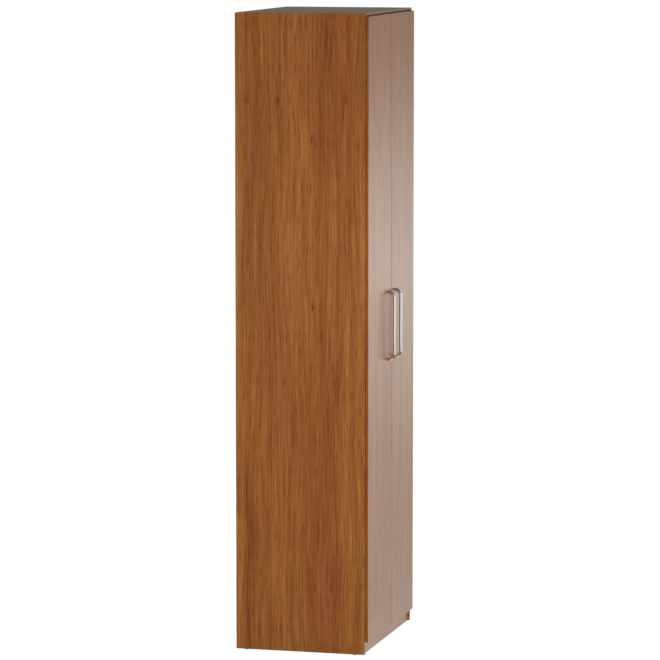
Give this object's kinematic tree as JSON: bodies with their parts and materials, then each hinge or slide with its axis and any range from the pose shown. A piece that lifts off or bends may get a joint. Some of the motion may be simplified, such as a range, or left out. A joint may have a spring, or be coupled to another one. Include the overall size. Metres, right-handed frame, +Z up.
{
  "type": "wardrobe",
  "caption": "Tall narrow wardrobe with wood-decor panels, overlay doors on concealed hinges, bow handles, a hat shelf and a hanging rail.",
  "frame": {"origin": "on the floor, below the centre of the bounding box, handles included", "axes": "+Z up; the doors face -Y; +X is to the right of a person who faces the doors"},
  "size_m": [0.72, 0.5416, 2.4],
  "materials": {
    "wood_board": "satin wood decor with fine upright grain",
    "back_sheet": "matte brown hardboard",
    "polished_steel": "bright polished",
    "nickel_plate": "satin nickel",
    "dark_plastic": "matte"
  },
  "bodies": {
    "carcass": {"left_side_panel": "wood_board", "right_side_panel": "wood_board", "top_panel": "wood_board", "bottom_panel": "wood_board", "plinth": "wood_board", "hat_shelf": "wood_board", "back_panel_lower": "back_sheet", "back_panel_upper": "back_sheet", "hanging_rail": "polished_steel", "left_rail_flange": "nickel_plate", "right_rail_flange": "nickel_plate", "left_front_shelf_pin": "nickel_plate", "left_rear_shelf_pin": "nickel_plate", "right_front_shelf_pin": "nickel_plate", "right_rear_shelf_pin": "nickel_plate", "left_front_glide": "dark_plastic", "left_rear_glide": "dark_plastic", "right_front_glide": "dark_plastic", "right_rear_glide": "dark_plastic", "left_hinge_plate_1": "nickel_plate", "left_hinge_plate_2": "nickel_plate", "left_hinge_plate_3": "nickel_plate", "left_hinge_plate_4": "nickel_plate", "left_hinge_arm_1": "nickel_plate", "left_hinge_arm_2": "nickel_plate", "left_hinge_arm_3": "nickel_plate", "left_hinge_arm_4": "nickel_plate", "right_hinge_plate_1": "nickel_plate", "right_hinge_plate_2": "nickel_plate", "right_hinge_plate_3": "nickel_plate", "right_hinge_plate_4": "nickel_plate", "right_hinge_arm_1": "nickel_plate", "right_hinge_arm_2": "nickel_plate", "right_hinge_arm_3": "nickel_plate", "right_hinge_arm_4": "nickel_plate"},
    "left_links": {"left_hinge_link_1": "nickel_plate", "left_hinge_link_2": "nickel_plate", "left_hinge_link_3": "nickel_plate", "left_hinge_link_4": "nickel_plate"},
    "right_links": {"right_hinge_link_1": "nickel_plate", "right_hinge_link_2": "nickel_plate", "right_hinge_link_3": "nickel_plate", "right_hinge_link_4": "nickel_plate"},
    "left_leaf": {"left_door": "wood_board", "left_handle": "polished_steel", "left_handle_screw_upper": "nickel_plate", "left_handle_screw_lower": "nickel_plate", "left_hinge_cup_1": "nickel_plate", "left_hinge_cup_2": "nickel_plate", "left_hinge_cup_3": "nickel_plate", "left_hinge_cup_4": "nickel_plate"},
    "right_leaf": {"right_door": "wood_board", "right_handle": "polished_steel", "right_handle_screw_upper": "nickel_plate", "right_handle_screw_lower": "nickel_plate", "right_hinge_cup_1": "nickel_plate", "right_hinge_cup_2": "nickel_plate", "right_hinge_cup_3": "nickel_plate", "right_hinge_cup_4": "nickel_plate"}
  },
  "joints": [
    {"name": "left_link_pivot", "type": "hinge", "parent": "carcass", "child": "left_links", "pos_m": [-0.324, -0.2332, 1.219], "axis": [0, 0, 1], "range_deg": [0, 47.5]},
    {"name": "left_door_swing", "type": "hinge", "parent": "left_links", "child": "left_leaf", "pos_m": [-0.3425, -0.2321, 1.219], "axis": [0, 0, -1], "range_deg": [0, 142.5]},
    {"name": "right_link_pivot", "type": "hinge", "parent": "carcass", "child": "right_links", "pos_m": [0.324, -0.2332, 1.219], "axis": [0, 0, -1], "range_deg": [0, 47.5]},
    {"name": "right_door_swing", "type": "hinge", "parent": "right_links", "child": "right_leaf", "pos_m": [0.3425, -0.2321, 1.219], "axis": [0, 0, 1], "range_deg": [0, 142.5]}
  ],
  "couplings": [
    {"joint": "left_link_pivot", "follows": "left_door_swing", "ratio": 0.33333},
    {"joint": "right_link_pivot", "follows": "right_door_swing", "ratio": 0.33333}
  ]
}
